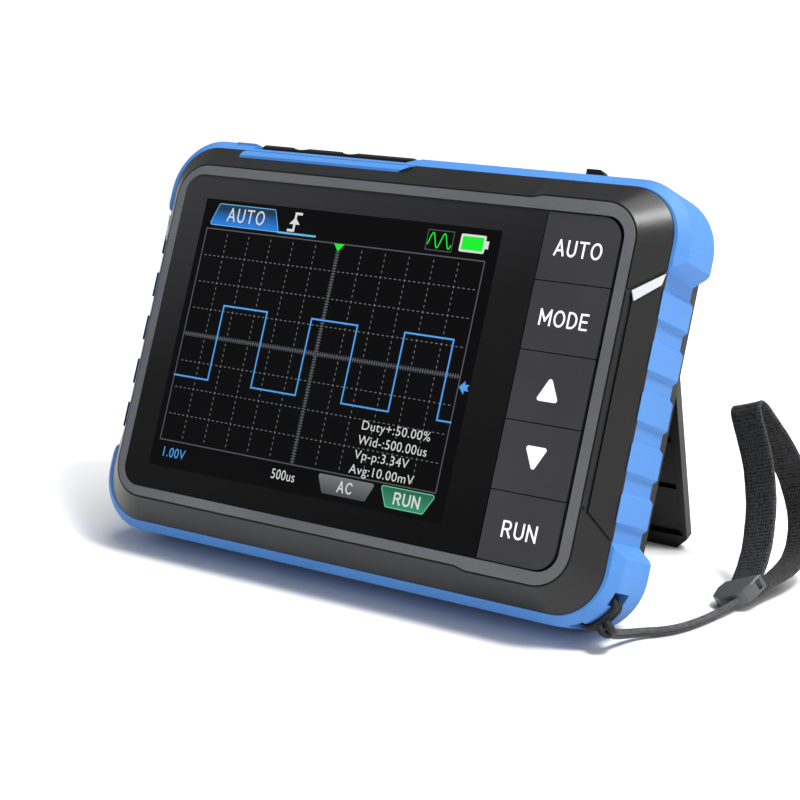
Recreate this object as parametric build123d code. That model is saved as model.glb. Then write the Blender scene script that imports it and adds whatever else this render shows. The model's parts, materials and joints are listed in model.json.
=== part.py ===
from build123d import *
import math
import os

# Pocket oscilloscope on its kickstand, in millimetres.
# Each piece is drawn in the instrument's own frame: X to the right across the face,
# Y from the face towards the back, Z up the face. place() then leans it back on its stand.

# ---- driving dimensions -------------------------------------------------------------
lean = 22.36                 # how far the face leans back when it stands, degrees
stand_open = 40.0            # kickstand angle from the back cover, degrees

case_w, case_h = 94.6, 65.1  # front lip of the case
case_r = 7.8
case_depth = 19.5
bevel = 4.1                  # depth of the 45 degree bevel round the face
lip = 0.6                    # thickness of the case lip in front of the bumper
seat_drop = 2.2              # how far the bumper's seat lies inside the lip
wall = 1.5
cover_depth = 3.95           # the part of the depth that the back cover takes
cover_inset = 1.0            # the back cover lies inside the lip by this much
tongue = 0.65                # how far the cover reaches into the case
gap = 0.05                   # clearance between pieces that are fastened together
run = 0.2                    # clearance round the pieces that move

ring_side, ring_top = 4.15, 4.1       # the grey face frame lies inside the lip by this much
ring_r = 5.5
ring_t = 1.2
ring_step = 0.45             # the face frame is higher beside the keys
step_side = 17.55            # where that step is, from the frame's right side
rim = 0.3                    # flat of the case round the face frame
border_left, border_right = 1.35, 1.7  # the face frame's own width at its sides
border_top = 1.55
face_r = 3.4

key_w = 12.7
key_side = 0.68              # dark gap between the keys and the face frame
key_gap = 0.16
key_t = 1.4
key_count = 5
key_travel = 0.5
key_r = 3.3
face_drop = 0.2              # keys and window lie this far behind the face frame

lens_t = 0.8
gasket_t = 0.2
lcd_t, light_t = 1.0, 1.4
lcd_z = 0.6                  # the display sits this much above the middle
lcd_margin = 1.7             # from the opening's left side to the display
lcd_border = 1.9             # from the opening's top and bottom to the display
flex_room = 1.77             # from the display to the keys
view_border, view_border_right = 2.6, 5.7   # the display's dark border
view_border_top = 3.2

pcb_y, pcb_t = 6.4, 1.2      # front face and thickness of the circuit board
pcb_side, pcb_end = 5.2, 1.7           # free room beside and above the board, both sides together
battery_right = 10.0
plug_x, plug_z = 16.0, -19.0           # top of the battery's plug
switch_h = 1.5
tip_r = 0.9
frame_t = 1.2

bumper_side, bumper_top = 2.2, 1.6     # how far the bumper stands out from the lip
bumper_r = 9.5
bumper_chamfer = 1.55
waist = 2.7                  # the bumper's sides are drawn in by this much between the ribs
rib_rise = 0.65
rib_pitch = 7.65
rib_h = 5.4
rib_count = 5
bulge_h = 11.45              # height of each corner bulge
bulge_ramp = 2.5

window_side = 14.1           # cut-out in the bumper over the ports, from the lip's left side
window_ramp = 3.5
window_back = 6.6            # depth of the blue strip in front of the ports
strip_drop = 1.6             # how far that strip comes down over the bevel
strip_rise = 0.55            # and how far it stands above the lip
port_rise = 2.0              # height of the black insert above the lip
port_wall = 0.8              # black insert in front of and behind the sockets
jack_at = (18.0, 8.0)        # probe and generator sockets, from the cut-out's left end
jack_to_usb = 0.35           # wall between the probe socket and the USB port
jack_bore_r, jack_bore_l = 1.75, 3.6
jack_r = 2.9

knob_side, knob_y = 16.9, 9.0          # from the lip's right side, and in depth
knob_w, knob_d, knob_rise = 3.4, 2.0, 1.4
knob_travel = 2.0

pivot_back, pivot_top = 1.5, 6.55      # the hinge, from the back face and from the lip's top
stand_t, barrel_r = 1.9, 1.3
stand_side, stand_taper = 7.4, 1.7     # the stand lies inside the lip by this much, and narrows to its foot
bay_gap = 0.4
pin_r, pin_l = 0.75, 6.6

screw_in = 1.75              # case screws, from the side of the bumper's seat
screw_top, screw_bottom = 12.55, 10.55 # and from the lip's top and bottom
screw_r, head_r = 0.85, 1.55
boss_r = 1.6

# ---- worked out from them -----------------------------------------------------------
seat_w, seat_h, seat_r = case_w - 2 * seat_drop, case_h - 2 * seat_drop, case_r - 1.5
lip_back = bevel + lip
split_y = case_depth - cover_depth
cover_w, cover_h = case_w - 2 * cover_inset, case_h - 2 * cover_inset + 0.9

ring_w, ring_h = case_w - 2 * ring_side, case_h - 2 * ring_top
step_x = ring_w / 2 - step_side
face_left, face_right = -ring_w / 2 + border_left, ring_w / 2 - border_right
face_h = ring_h - 2 * border_top
key_right = face_right - key_side
key_left = key_right - key_w
key_pitch = (face_h - 0.15) / key_count

lcd_left, lcd_right = face_left + lcd_margin, key_left - flex_room
lcd_h = face_h - 2 * lcd_border
view_left, view_right = lcd_left + view_border, lcd_right - view_border_right
view_top, view_bottom = lcd_z + lcd_h / 2 - view_border_top, lcd_z - lcd_h / 2 + view_border_top
lens_y = face_drop
gasket_y = lens_y + lens_t
lcd_y = gasket_y + gasket_t
light_y = lcd_y + lcd_t + gap
frame_y = light_y + light_t + gap

pcb_w, pcb_h = seat_w - 2 * wall - pcb_side, seat_h - 2 * wall - pcb_end
bumper_w, bumper_h = case_w + 2 * bumper_side, case_h + 2 * bumper_top
bumper_back = split_y - gap
side_x = bumper_w / 2 - waist
bulge_z = bumper_h / 2 - bulge_h

window_left = -case_w / 2 + window_side
jack_x = tuple(window_left + x for x in jack_at)
usb_x = jack_x[0] + jack_r + jack_to_usb + 4.55
window_right = usb_x + 5.4
jack_y = window_back + run + jack_r + 0.3
port_back = jack_y + jack_r + port_wall
port_top = case_h / 2 + port_rise
shell_top = seat_h / 2
knob_x = case_w / 2 - knob_side

pivot_y, pivot_z = case_depth - pivot_back, case_h / 2 - pivot_top
stand_w_top = case_w - 2 * stand_side
stand_w_foot = stand_w_top - 2 * stand_taper
bay_floor = pivot_y - barrel_r - run
open_lean = math.radians(stand_open - lean)
lean_rad = math.radians(lean)
screw_x, screw_z = seat_w / 2 - screw_in, (case_h / 2 - screw_top, -case_h / 2 + screw_bottom)


# ---- helpers ------------------------------------------------------------------------
def facing(y):
    """The plane across the instrument at depth y, drawn as X and Z."""
    return Plane(origin=(0, y, 0), x_dir=(1, 0, 0), z_dir=(0, -1, 0))


def deep(sketch, y0, y1):
    """A drawing on X and Z carried from depth y0 to y1."""
    return extrude(facing(y0) * sketch, amount=y1 - y0, dir=(0, 1, 0))


def block(x0, x1, y0, y1, z0, z1):
    return Pos((x0 + x1) / 2, (y0 + y1) / 2, (z0 + z1) / 2) * Box(x1 - x0, y1 - y0, z1 - z0)


def rounded(w, h, r, y0, y1, x=0.0, z=0.0):
    return deep(Pos(x, z) * RectangleRounded(w, h, r), y0, y1)


def along_y(r, y0, y1, x, z):
    return Pos(x, (y0 + y1) / 2, z) * Rot(X=90) * Cylinder(r, y1 - y0)


def along_x(r, x0, x1, y, z):
    return Pos((x0 + x1) / 2, y, z) * Rot(Y=90) * Cylinder(r, x1 - x0)


def along_z(r, z0, z1, x, y):
    return Pos(x, y, (z0 + z1) / 2) * Cylinder(r, z1 - z0)


def profile(points, x0, x1):
    """A closed outline of (y, z) points carried from x0 to x1."""
    sketch = make_face(Polyline(*points, close=True))
    return extrude(Plane(origin=(x0, 0, 0), x_dir=(0, 1, 0), z_dir=(1, 0, 0)) * sketch, amount=x1 - x0)


def stepped(w, h, r, step):
    """A rounded rectangle whose top and bottom move out by step to the right of step_x."""
    a, b = w / 2, h / 2
    c = b + step
    x1, x2 = step_x - 0.9, step_x + 0.9
    k = r * (1 - math.sqrt(0.5))
    edges = [
        Line((-a + r, b), (x1, b)), Line((x1, b), (x2, c)), Line((x2, c), (a - r, c)),
        ThreePointArc((a - r, c), (a - k, c - k), (a, c - r)), Line((a, c - r), (a, -c + r)),
        ThreePointArc((a, -c + r), (a - k, -c + k), (a - r, -c)), Line((a - r, -c), (x2, -c)),
        Line((x2, -c), (x1, -b)), Line((x1, -b), (-a + r, -b)),
        ThreePointArc((-a + r, -b), (-a + k, -b + k), (-a, -b + r)), Line((-a, -b + r), (-a, b - r)),
        ThreePointArc((-a, b - r), (-a + k, b - k), (-a + r, b)),
    ]
    return make_face(Wire(edges))


def mirrored(part):
    return mirror(part, about=Plane.YZ)


# ---- case ---------------------------------------------------------------------------
def bevel_plane():
    """The right-hand bevel: its x runs from the face frame outwards, its y is Z."""
    return Plane(
        origin=((ring_w / 2 + rim + case_w / 2) / 2, bevel / 2 + rim / 4, 0),
        x_dir=(1, 1, 0), z_dir=(1, -1, 0),
    )


panel_in, panel_out = -2.1, 3.6        # side panel, across the bevel
panel_z_in, panel_z_out = 16.9, 21.3   # half its height at those two places
groove_w, groove_d, panel_d = 0.6, 0.75, 0.3


def on_bevel(points, depth, rise=1.5):
    sketch = bevel_plane() * make_face(Polyline(*points, close=True))
    return extrude(sketch, amount=rise) + extrude(sketch, amount=-depth)


def panel_cut():
    outer = [(panel_in, panel_z_in), (panel_out, panel_z_out),
             (panel_out, -panel_z_out), (panel_in, -panel_z_in)]
    g = groove_w
    upper = [(panel_in - 1.2, panel_z_in - 0.93), (panel_out, panel_z_out),
             (panel_out, panel_z_out - g), (panel_in, panel_z_in - g)]
    lower = [(x, -z) for x, z in upper]
    inner = [(panel_in, panel_z_in), (panel_in + g, panel_z_in), (panel_in + g, -panel_z_in),
             (panel_in, -panel_z_in)]
    cut = on_bevel(outer, panel_d)
    for points in (upper, lower, inner):
        cut += on_bevel(points, groove_d)
    return cut


def accent():
    """Bright strip under the upper groove of the right-hand side panel."""
    slope = (panel_z_out - panel_z_in) / (panel_out - panel_in)
    z0 = panel_z_in - groove_w - 0.1
    a, b = panel_in + 0.15, 2.75
    za, zb = z0 + (a - panel_in) * slope, z0 + (b - panel_in) * slope
    points = [(a, za), (b, zb), (b - 0.35, zb - 1.8), (a + 0.6, za - 1.45)]
    sketch = bevel_plane() * make_face(Polyline(*points, close=True))
    return extrude(sketch, amount=0.12) + extrude(sketch, amount=-(panel_d - 0.02))


def window_profile(grow):
    """Section of the blue strip that crosses the bevel in front of the ports."""
    y0, z0 = bevel - 1.65, case_h / 2 - strip_drop - 0.1
    back, top = window_back + grow, case_h / 2 + strip_rise + grow
    return [(y0 - grow, z0 - grow), (y0 - grow, z0 + 0.55 + grow), (y0 + 0.75, z0 + 1.3 + grow),
            (lip_back + 0.9, top), (back, top), (back, seat_h / 2 - 0.3 - grow),
            (lip_back, seat_h / 2 - 0.3 - grow)]



def window_span(grow):
    """The strip over the ports, cut off square at its left end and sloped up at its right one."""
    strip = profile(window_profile(grow), window_left - grow - 0.8, window_right + window_ramp + grow)
    foot, head = case_h / 2 - strip_drop - 0.15, case_h / 2 + strip_rise + 0.4
    slope = make_face(Polyline((window_right + grow, foot), (window_right + window_ramp + grow, head),
                               (window_right + window_ramp + 9, head), (window_right + window_ramp + 9, foot - 9),
                               (window_right + grow, foot - 9), close=True))
    return strip - deep(slope, -1, lip_back + gap)


def front_shell():
    sections = [facing(0.15) * stepped(ring_w + 2 * rim, ring_h + 2 * rim, ring_r + rim, ring_step),
                facing(bevel) * stepped(case_w, case_h, case_r, 0)]
    body = loft(sections, ruled=True)
    body += rounded(case_w, case_h, case_r, bevel, lip_back)
    body += rounded(seat_w, seat_h, seat_r, bevel, split_y)
    # hollow: a tapered front chamber and a straight one behind it
    inner_w, inner_h = seat_w - 2 * wall, seat_h - 2 * wall
    body -= rounded(inner_w, inner_h, seat_r - wall, bevel + 0.4, split_y + 1)
    body -= rounded(inner_w - 3.0, inner_h - 2.2, seat_r - wall, ring_t + 1.3, bevel + 0.5)
    # seat of the face frame and the opening through it
    body -= deep(stepped(ring_w + 2 * gap, ring_h + 2 * gap, ring_r + gap, ring_step), -1, ring_t + gap)
    body -= rounded(inner_w - 3.0, inner_h - 2.2, seat_r - wall, ring_t, ring_t + 1.4)
    # screw bosses along the side walls
    for x in (-screw_x, screw_x):
        for z in screw_z:
            boss = along_y(boss_r, bevel + 0.2, split_y - tongue - gap, x, z)
            boss += block(min(x, math.copysign(seat_w / 2 - 0.3, x)), max(x, math.copysign(seat_w / 2 - 0.3, x)),
                          bevel + 0.2, split_y - tongue - gap, z - boss_r, z + boss_r)
            body += boss & block(-seat_w / 2, seat_w / 2, 0, split_y, -seat_h / 2, seat_h / 2)
            body -= along_y(screw_r + 0.02, split_y - 7.2, split_y + 1, x, z)
    # shelf that the circuit board stands on, at the top and bottom walls
    for x in (-20.0, 20.0):
        for z0, z1 in ((pcb_h / 2 - 1.2, inner_h / 2 + 0.2), (-inner_h / 2 - 0.2, -pcb_h / 2 + 1.2)):
            body += block(x - 2, x + 2, frame_y + frame_t + 0.4, pcb_y - gap, z0, z1)
    body -= panel_cut()
    body -= mirrored(panel_cut())
    body -= window_span(gap)
    # openings in the top wall for the ports and the power switch
    body -= block(window_left + 2.2, window_right - 0.6, jack_y - jack_r - run, jack_y + jack_r + run,
                  seat_h / 2 - wall - 0.5, seat_h / 2 + 0.5)
    body -= block(knob_x - knob_travel - 1.4, knob_x + knob_w / 2 + knob_travel / 2 + 0.4,
                  knob_y - 1.3, knob_y + 1.3, seat_h / 2 - wall - 0.5, seat_h / 2 + 0.5)
    return body


def face_frame():
    ring = deep(stepped(ring_w, ring_h, ring_r, ring_step), 0, ring_t)
    opening = Pos((face_left + face_right) / 2, 0) * RectangleRounded(face_right - face_left, face_h, face_r)
    ring -= deep(opening, -1, ring_t + 1)
    return ring


def back_shell():
    body = rounded(cover_w, cover_h, case_r - cover_inset, split_y, case_depth)
    body = chamfer(body.edges().group_by(Axis.Y)[-1], 0.9)
    reach_y = split_y - tongue
    body += rounded(seat_w - 2 * wall - 2 * gap, seat_h - 2 * wall - 2 * gap, seat_r - wall, reach_y, split_y)
    body -= rounded(seat_w - 4 * wall, seat_h - 6 * wall, 3.0, reach_y - 1, bay_floor - 1.3)
    # bay for the folded stand, open at the bottom
    half_top, half_foot = stand_w_top / 2 + bay_gap, stand_w_foot / 2 + bay_gap
    top = pivot_z + barrel_r + bay_gap
    low, out = -case_h / 2 + 2.5, -case_h / 2 - 7.5
    bay = Polyline((-half_foot, out), (-half_foot, low), (-half_top, pivot_z - 8), (-half_top, top),
                   (half_top, top), (half_top, pivot_z - 8), (half_foot, low), (half_foot, out), close=True)
    body -= deep(make_face(bay), bay_floor, case_depth + 1)
    for x in (-screw_x, screw_x):
        for z in screw_z:
            body -= along_y(screw_r + 0.1, reach_y - 1, case_depth + 1, x, z)
            body -= along_y(head_r + 0.1, case_depth - 1.4, case_depth + 1, x, z)
            body -= along_y(boss_r + 0.1, reach_y - 1, reach_y + 0.02, x, z)
    for side in (-1, 1):
        x0 = side * (stand_w_top / 2 + bay_gap)
        x1 = side * (stand_w_top / 2 + bay_gap + 2.4)
        body -= along_x(pin_r + 0.02, min(x0, x1) - 0.5, max(x0, x1), pivot_y, pivot_z)
    return body


# ---- window and display -------------------------------------------------------------
def display_lens():
    left, right = face_left + gap, key_left - key_gap
    sketch = Pos((left + right) / 2, 0) * RectangleRounded(right - left, face_h - 2 * gap, face_r - gap)
    lens = deep(sketch, lens_y, lens_y + lens_t)
    lens += block(right - 6, right, lens_y, lens_y + lens_t, -face_h / 2 + gap, face_h / 2 - gap)
    return lens


def frame_of(left, right, bottom, top, border, y0, y1):
    outer = block(left - border, right + border, y0, y1, bottom - border, top + border)
    return outer - block(left, right, y0 - 1, y1 + 1, bottom, top)


def lens_gasket():
    return frame_of(view_left - 0.6, view_right + 0.6, view_bottom - 0.6, view_top + 0.6, 1.6,
                    gasket_y, gasket_y + gasket_t)


def lcd_panel():
    return block(lcd_left, lcd_right, lcd_y, lcd_y + lcd_t, lcd_z - lcd_h / 2, lcd_z + lcd_h / 2)


def backlight():
    return block(lcd_left, lcd_right - 2.5, light_y, light_y + light_t, lcd_z - lcd_h / 2 + 0.3,
                 lcd_z + lcd_h / 2 - 0.3)


def inner_frame():
    y0, y1 = frame_y, frame_y + frame_t
    frame = block(lcd_left - 0.4, lcd_right + 0.2, y0, y1, lcd_z - lcd_h / 2, lcd_z + lcd_h / 2)
    frame -= block(lcd_left + 6, lcd_right - 9, y0 - 1, y1 + 1, lcd_z - lcd_h / 2 + 7, lcd_z + lcd_h / 2 - 7)
    for x, z in frame_posts():
        frame += along_y(1.7, y1 - 0.1, pcb_y - gap, x, z)
        frame -= along_y(0.72, y0 + 0.3, pcb_y + 1, x, z)
    return frame


def frame_posts():
    return [(x, lcd_z + s * (lcd_h / 2 - 3)) for x in (lcd_left + 3, lcd_right - 3.4) for s in (-1, 1)]


def display_flex():
    """Ribbon from the display's right edge, folded back to the circuit board."""
    x0, x1 = lcd_right, lcd_right + 0.7
    ribbon = block(x0 + gap, x1, lcd_y + 0.3, lcd_y + 0.45, -7, 7)
    ribbon += block(x1 - 0.15, x1, lcd_y + 0.3, pcb_y - 0.45, -7, 7)
    ribbon += block(lcd_right - 4.5, x1, pcb_y - 0.6, pcb_y - 0.45, -7, 7)
    return ribbon


# ---- keys ---------------------------------------------------------------------------
def key_z(i):
    return key_pitch * ((key_count - 1) / 2 - i)


def keycap(i):
    """One key: its cap, the tongues that hold it behind the face, and its plunger."""
    z, half = key_z(i), (key_pitch - key_gap) / 2
    y0, y1 = face_drop, face_drop + key_t
    top, bottom = z + half, z - half
    if i == 0:
        top = face_h / 2 - run
    if i == key_count - 1:
        bottom = -face_h / 2 + run
    cap = block(key_left, key_right, y0, y1, bottom, top)
    if i in (0, key_count - 1):
        r = key_r
        corner_z = top if i == 0 else bottom
        s = 1 if i == 0 else -1
        corner = block(key_right - r, key_right, y0, y1, min(corner_z, corner_z - s * r),
                       max(corner_z, corner_z - s * r))
        corner -= along_y(r, y0 - 1, y1 + 1, key_right - r, corner_z - s * r)
        cap -= corner
    flange_y = ring_t + gap + 0.02
    cap += block(key_left - 0.9, key_right + 0.9, max(flange_y, y1 - 0.35), y1 + 0.4, z - 3, z + 3)
    x = (key_left + key_right) / 2
    cap += along_y(1.7, y1 + 0.3, pcb_y - switch_h - key_travel - 0.4, x, z)
    cap += along_y(tip_r, pcb_y - switch_h - key_travel - 0.5, pcb_y - switch_h + 0.3, x, z)
    return cap


def tact_switches():
    group = []
    x = (key_left + key_right) / 2
    for i in range(key_count):
        z = key_z(i)
        body = block(x - 2.2, x + 2.2, pcb_y - switch_h, pcb_y - gap, z - 2.2, z + 2.2)
        body -= along_y(tip_r + 0.15, pcb_y - switch_h - 1, pcb_y - 0.4, x, z)
        group.append(body)
    return Compound(children=group)


# ---- electronics --------------------------------------------------------------------
def main_pcb():
    board = rounded(pcb_w, pcb_h, 2.0, pcb_y, pcb_y + pcb_t)
    for x, z in frame_posts():
        board -= along_y(0.95, pcb_y - 1, pcb_y + pcb_t + 1, x, z)
    for x in (usb_x,) + jack_x:
        board -= block(x - 1.5, x + 1.5, pcb_y - 1, pcb_y + pcb_t + 1, pcb_h / 2 - 0.6, pcb_h / 2 + 1)
    return board


def pcb_screws():
    group = []
    y = pcb_y + pcb_t + gap
    for x, z in frame_posts():
        group.append(along_y(0.7, frame_y + 0.6, y + 0.1, x, z) + along_y(1.5, y, y + 0.9, x, z))
    return Compound(children=group)


def shield_can():
    y = pcb_y + pcb_t + gap
    can = block(14, 36, y, y + 2.6, -2, 18)
    return can - block(14.3, 35.7, y - 1, y + 2.3, -1.7, 17.7)


def chips():
    y = pcb_y + pcb_t + gap
    spots = [(21, 9, 8, 7, 1.2), (30, 3.5, 5, 5, 0.9), (30, 12, 4, 4, 0.9), (24, -12, 6, 5, 1.2),
             (34, -14, 4, 3, 1.0)]
    return Compound(children=[block(x - w / 2, x + w / 2, y, y + t, z - h / 2, z + h / 2) for x, z, w, h, t in spots])


def battery():
    y0, y1 = pcb_y + pcb_t + 1.0, bay_floor - 2.3
    cell = block(-pcb_w / 2 + 5, battery_right, y0, y1, -pcb_h / 2 + 6, pcb_h / 2 - 12)
    return fillet(cell.edges().filter_by(Axis.Z), 1.8)


def battery_plug():
    y = pcb_y + pcb_t + gap
    return block(plug_x - 2.5, plug_x + 2.5, y, y + 3.0, plug_z - 5, plug_z)


def battery_leads():
    """Two leads from the battery to its plug."""
    y = pcb_y + pcb_t + 3.6
    leads = []
    for dx in (-0.8, 0.8):
        x, z = plug_x + dx, plug_z + 10.5 + dx
        path = FilletPolyline((battery_right + 0.02, y, z), (x, y, z), (x, y, plug_z + 4.5),
                              (x, y - 2.0, plug_z + 0.25), radius=1.2)
        leads.append(sweep(Plane(origin=path @ 0, z_dir=path % 0) * Circle(0.5), path=path))
    return Compound(children=leads)


def jack(x):
    """Coaxial push-on socket that points up through the top wall."""
    z1 = port_top - 0.7
    base_z = pcb_h / 2 - 4.5
    body = along_z(jack_r, z1 - jack_bore_l - 2.0, z1, x, jack_y)
    body += block(x - 3.2, x + 3.2, pcb_y + pcb_t + gap, jack_y + 2.6, base_z, z1 - jack_bore_l - 1.9)
    body -= along_z(jack_bore_r, z1 - jack_bore_l, z1 + 1, x, jack_y)
    return body



def usb_receptacle():
    y0, y1, z1 = jack_y - 1.6, jack_y + 1.6, port_top - 0.7
    body = block(usb_x - 4.4, usb_x + 4.4, y0, y1, z1 - 7.2, z1)
    body = fillet(body.edges().filter_by(Axis.Z), 1.3)
    hole = block(usb_x - 4.1, usb_x + 4.1, y0 + 0.3, y1 - 0.3, z1 - 6.0, z1 + 1)
    body -= fillet(hole.edges().filter_by(Axis.Z), 1.1)
    body += block(usb_x - 3.3, usb_x + 3.3, jack_y - 0.35, jack_y + 0.35, z1 - 6.1, z1 - 1.0)
    return body


def port_block():
    """Black insert round the sockets, level with the bumper's top."""
    x0, x1 = window_left + 2 * run, window_right - 2 * run
    y0, y1 = window_back + run, port_back
    z0 = shell_top + gap
    body = profile([(y0, z0), (y0, port_top - 0.5), (y0 + 0.6, port_top), (y1 - 0.6, port_top),
                    (y1, port_top - 0.5), (y1, z0)], x0, x1)
    for x in jack_x:
        body -= along_z(jack_r + 0.15, z0 - 1, port_top + 1, x, jack_y)
    opening = block(usb_x - 4.55, usb_x + 4.55, jack_y - 1.75, jack_y + 1.75, z0 - 1, port_top + 1)
    body -= fillet(opening.edges().filter_by(Axis.Z), 1.4)
    return body


def power_switch():
    y0 = pcb_y + pcb_t + gap
    body = block(knob_x - 4.6, knob_x + 3.6, y0, knob_y + 1.8, shell_top - wall - 3.2, shell_top - wall - 0.1)
    body -= block(knob_x - knob_travel - 1.2, knob_x + 1.2, knob_y - 0.8, knob_y + 0.8, shell_top - wall - 1.8, shell_top)
    return body


def power_knob():
    x0, x1 = knob_x - knob_w / 2, knob_x + knob_w / 2
    z0, z1 = shell_top + 0.3, bumper_h / 2 + knob_rise
    y0, y1 = knob_y - knob_d / 2, knob_y + knob_d / 2
    sketch = make_face(Polyline((x0, z0), (x0, z1 - 0.15), (x0 + 0.15, z1), (x1 - 1.0, z1), (x1, z1 - 0.9),
                                (x1, z0), close=True))
    knob = deep(sketch, y0, y1)
    knob += block(knob_x - 0.8, knob_x + 0.8, knob_y - 0.6, knob_y + 0.6, shell_top - wall - 1.6, z0 + 0.1)
    return knob


# ---- bumper -------------------------------------------------------------------------
bar_x, bar_z = bumper_w / 2 - bumper_r, -(bumper_h / 2 - bumper_r)   # centre of the lower right corner
bar_in, slot_in = 7.7, 5.75
slot_y0, slot_y1 = 5.6, 10.2


def sector(r0, r1, a0, a1, y0, y1):
    """Part of a ring round the bumper's lower right corner, from angle a0 to a1 below +X."""
    span = [(r1 * 2 * math.cos(math.radians(-a)), r1 * 2 * math.sin(math.radians(-a))) for a in (a0, a1)]
    wedge = make_face(Polyline((0, 0), span[0], span[1], close=True))
    ring = (Circle(r1) - Circle(r0)) & wedge
    return deep(Pos(bar_x, bar_z) * ring, y0, y1)


def bumper():
    body = rounded(bumper_w, bumper_h, bumper_r, bevel + 0.1, bumper_back)
    body = chamfer(body.edges().group_by(Axis.Y)[0], bumper_chamfer)
    body = chamfer(body.edges().group_by(Axis.Y)[-1], 0.7)
    # sides drawn in between the corner bulges, then ribbed
    drawn_in = Polyline((side_x, bulge_z - bulge_ramp), (bumper_w / 2 + 1, bulge_z + 0.4),
                        (bumper_w / 2 + 1, -bulge_z - 0.4), (side_x, -bulge_z + bulge_ramp), close=True)
    cut = deep(make_face(drawn_in), 0, case_depth + 1)
    body -= cut
    body -= mirrored(cut)
    for i in range(rib_count):
        z = rib_pitch * (i - (rib_count - 1) / 2)
        y0, y1, x = bevel + 0.1, bumper_back, side_x
        sketch = make_face(Polyline((x - 0.3, z - rib_h / 2), (x, z - rib_h / 2), (x + rib_rise, z - rib_h / 2 + 0.65),
                                    (x + rib_rise, z + rib_h / 2 - 0.65), (x, z + rib_h / 2), (x - 0.3, z + rib_h / 2), close=True))
        rib = deep(sketch, y0, y1)
        body += rib
        body += mirrored(rib)
    # the strip in front of the ports, and the opening behind it
    body -= block(window_left, window_right, 0, window_back, case_h / 2 + strip_rise, bumper_h)
    body -= profile_ramp()
    body += window_span(0)
    body += block(window_left - 4.0, window_left, lip_back + 0.6, window_back + 0.4, seat_h / 2 + 0.5, bumper_h / 2)
    body -= block(window_left, window_right, window_back, port_back + run, seat_h / 2 - 1, bumper_h)
    # the case fills the middle
    body -= rounded(seat_w + 2 * gap, seat_h + 2 * gap, seat_r + gap, lip_back - 1, split_y + 1)
    body -= rounded(case_w + 2 * gap, case_h + 2 * gap, case_r + gap, bevel - 3, lip_back + gap) - window_span(0)
    # opening for the power switch, and the lanyard's tunnel behind the corner
    body -= block(knob_x - knob_w / 2 - knob_travel - 0.4, knob_x + knob_w / 2 + 0.4, knob_y - knob_d / 2 - 0.3,
                  knob_y + knob_d / 2 + 0.3, seat_h / 2 - 1, bumper_h)
    body -= sector(slot_in, bar_in, 8, 82, slot_y0, slot_y1)
    body -= sector(slot_in, 14, 17, 31, slot_y0, slot_y1)
    body -= sector(slot_in, 14, 59, 73, slot_y0, slot_y1)
    return body


def profile_ramp():
    """The slope at the right end of the cut-out over the ports."""
    z0, z1 = case_h / 2 + strip_rise, bumper_h / 2 + 0.5
    sketch = make_face(Polyline((window_right - 0.5, z0), (window_right + window_ramp, z1),
                                (window_right - 0.5, z1 + 1), close=True))
    return deep(sketch, 0, window_back)


def case_screws():
    group = []
    for x in (-screw_x, screw_x):
        for z in screw_z:
            head = case_depth - 1.35
            screw = along_y(screw_r, split_y - 6.6, head + 0.1, x, z) + along_y(head_r, head, head + 1.0, x, z)
            screw -= along_y(0.55, head + 0.4, head + 2, x, z)
            group.append(screw)
    return Compound(children=group)


# ---- kickstand ----------------------------------------------------------------------
def foot_length(floor_z):
    """From the hinge to the foot's end, so that the open stand reaches the floor."""
    hinge_z = -pivot_y * math.sin(lean_rad) + pivot_z * math.cos(lean_rad)
    return (hinge_z - floor_z - (stand_t - barrel_r) * math.sin(open_lean)) / math.cos(open_lean)


def kickstand(length):
    """Drawn folded into its bay, then swung open about the hinge."""
    half_top, half_foot = stand_w_top / 2, stand_w_foot / 2
    foot_z = pivot_z - length
    c = 2.0
    outline = Polyline((-half_top, pivot_z), (half_top, pivot_z), (half_top, pivot_z - 8),
                       (half_foot, foot_z + c), (half_foot - c, foot_z), (-half_foot + c, foot_z),
                       (-half_foot, foot_z + c), (-half_top, pivot_z - 8), close=True)
    y0, y1 = pivot_y + barrel_r - stand_t, pivot_y + barrel_r
    body = deep(make_face(outline), y0, y1)
    body += along_x(barrel_r, -half_top, half_top, pivot_y, pivot_z)
    # shallow pocket with a rim, and slots, on the side that folds against the case
    body -= block(-half_foot + 0.7, half_foot - 0.7, y0 - 1, y0 + 0.5, foot_z + 2.6, pivot_z - 5)
    for z in (foot_z + 12.3, foot_z + 21.7):
        for s in (-1, 1):
            body -= block(min(s * 29, s * 37), max(s * 29, s * 37), y0 - 1, y0 + 1.3, z - 0.5, z + 0.5)
    body -= block(-36.8, 36.8, y0 - 1, y0 + 1.1, foot_z + 2.6, foot_z + 3.4)
    for s in (-1, 1):
        x0, x1 = s * (half_top - 4.2), s * (half_top + 1)
        body -= along_x(pin_r + 0.05, min(x0, x1), max(x0, x1), pivot_y, pivot_z)
    return body


def swing_open(part):
    return Pos(0, pivot_y, pivot_z) * Rot(X=stand_open) * Pos(0, -pivot_y, -pivot_z) * part


def hinge_pin(side):
    x1 = side * (stand_w_top / 2 + bay_gap + 2.3)
    x0 = x1 - side * pin_l
    return along_x(pin_r, min(x0, x1), max(x0, x1), pivot_y, pivot_z)


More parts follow.
